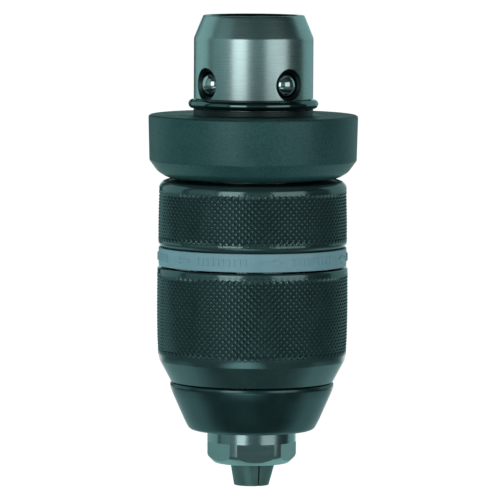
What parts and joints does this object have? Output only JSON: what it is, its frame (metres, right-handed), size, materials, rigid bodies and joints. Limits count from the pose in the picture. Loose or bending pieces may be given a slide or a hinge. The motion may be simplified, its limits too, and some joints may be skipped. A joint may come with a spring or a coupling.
{
  "type": "keyless drill chuck",
  "caption": "Keyless drill chuck with quick-change ball coupling, pull-back lock ring, knurled hand sleeves and self-centring jaws for round shanks.",
  "frame": {"origin": "centre of the coupling collar's rear face, on the spin axis, where the chuck seats on the machine's spindle", "axes": "+Z along the spin axis towards the machine, nose and jaws at -Z; +X is to the right when the chuck is seen from the side where the jaw gap shows"},
  "size_m": [0.0492, 0.0492, 0.1104],
  "materials": {
    "turned_steel": "fine turned satin steel",
    "polished_steel": "mirror-polished bearing steel",
    "spring_steel": "drawn spring steel, lightly oiled",
    "dark_wire": "blackened wire with a gloss",
    "black_oxide": "blacked steel, thin oil film",
    "black_moulded": "fine-grained matte black moulding",
    "black_knurled": "glossy black, raised point knurl",
    "black_cone": "smooth satin black",
    "grey_moulded": "blue-grey satin moulding"
  },
  "bodies": {
    "chuck": {"chuck_body": "turned_steel", "coupling_collar": "turned_steel", "wire_ring": "dark_wire", "spring_seat_bush": "black_oxide", "lock_spring": "spring_steel", "rear_sleeve": "black_knurled", "marking_ring": "grey_moulded", "nose_cap": "black_cone", "collar_pin_1": "spring_steel", "collar_pin_2": "spring_steel", "rear_race": "polished_steel"},
    "lock_ring_set": {"lock_ring": "black_moulded", "lock_ring_core": "turned_steel", "inner_lock_sleeve": "turned_steel", "cross_pin_1": "spring_steel", "cross_pin_2": "spring_steel"},
    "front_sleeve_set": {"front_sleeve": "black_knurled", "nut_half_a": "turned_steel", "nut_half_b": "turned_steel", "nut_band": "turned_steel", "front_race": "polished_steel"},
    "bearing_set": {"bearing_cage": "spring_steel", "bearing_ball_01": "polished_steel", "bearing_ball_02": "polished_steel", "bearing_ball_03": "polished_steel", "bearing_ball_04": "polished_steel", "bearing_ball_05": "polished_steel", "bearing_ball_06": "polished_steel", "bearing_ball_07": "polished_steel", "bearing_ball_08": "polished_steel", "bearing_ball_09": "polished_steel", "bearing_ball_10": "polished_steel", "bearing_ball_11": "polished_steel", "bearing_ball_12": "polished_steel"},
    "jaw_1": {"jaw_1": "black_oxide"},
    "jaw_2": {"jaw_2": "black_oxide"},
    "jaw_3": {"jaw_3": "black_oxide"},
    "ball_1": {"locking_ball_1": "polished_steel"},
    "ball_2": {"locking_ball_2": "polished_steel"},
    "ball_3": {"locking_ball_3": "polished_steel"},
    "ball_4": {"locking_ball_4": "polished_steel"}
  },
  "joints": [
    {"name": "front_sleeve_turn", "type": "hinge", "parent": "chuck", "child": "front_sleeve_set", "pos_m": [0, 0, -0.0724], "axis": [0, 0, -1], "range_deg": [0, 3600]},
    {"name": "bearing_orbit", "type": "hinge", "parent": "chuck", "child": "bearing_set", "pos_m": [0, 0, -0.0691], "axis": [0, 0, -1], "range_deg": [0, 1800]},
    {"name": "lock_ring_pull", "type": "slide", "parent": "chuck", "child": "lock_ring_set", "axis": [0, 0, 1], "range_m": [0, 0.0045], "stiffness_N_per_m": 2500, "springref_m": -0.003, "deforming": ["lock_spring"]},
    {"name": "jaw_1_slide", "type": "slide", "parent": "chuck", "child": "jaw_1", "axis": [-0.1571, -0.2162, 0.9636], "range_m": [0, 0.02179]},
    {"name": "jaw_2_slide", "type": "slide", "parent": "chuck", "child": "jaw_2", "axis": [0.2658, -0.0279, 0.9636], "range_m": [0, 0.02179]},
    {"name": "jaw_3_slide", "type": "slide", "parent": "chuck", "child": "jaw_3", "axis": [-0.1087, 0.2441, 0.9636], "range_m": [0, 0.02179]},
    {"name": "ball_1_sink", "type": "slide", "parent": "chuck", "child": "ball_1", "axis": [-0.6032, 0.7976, 0], "range_m": [0, 0.0009]},
    {"name": "ball_2_sink", "type": "slide", "parent": "chuck", "child": "ball_2", "axis": [-0.7976, -0.6032, 0], "range_m": [0, 0.0009]},
    {"name": "ball_3_sink", "type": "slide", "parent": "chuck", "child": "ball_3", "axis": [0.6032, -0.7976, 0], "range_m": [0, 0.0009]},
    {"name": "ball_4_sink", "type": "slide", "parent": "chuck", "child": "ball_4", "axis": [0.7976, 0.6032, 0], "range_m": [0, 0.0009]}
  ],
  "couplings": [
    {"joint": "front_sleeve_turn", "follows": "jaw_1_slide", "rad_per_m": 2883.2},
    {"joint": "bearing_orbit", "follows": "jaw_1_slide", "rad_per_m": 1441.6},
    {"joint": "jaw_2_slide", "follows": "jaw_1_slide", "ratio": 1},
    {"joint": "jaw_3_slide", "follows": "jaw_1_slide", "ratio": 1},
    {"joint": "ball_1_sink", "follows": "lock_ring_pull", "ratio": 0.2},
    {"joint": "ball_2_sink", "follows": "lock_ring_pull", "ratio": 0.2},
    {"joint": "ball_3_sink", "follows": "lock_ring_pull", "ratio": 0.2},
    {"joint": "ball_4_sink", "follows": "lock_ring_pull", "ratio": 0.2}
  ]
}
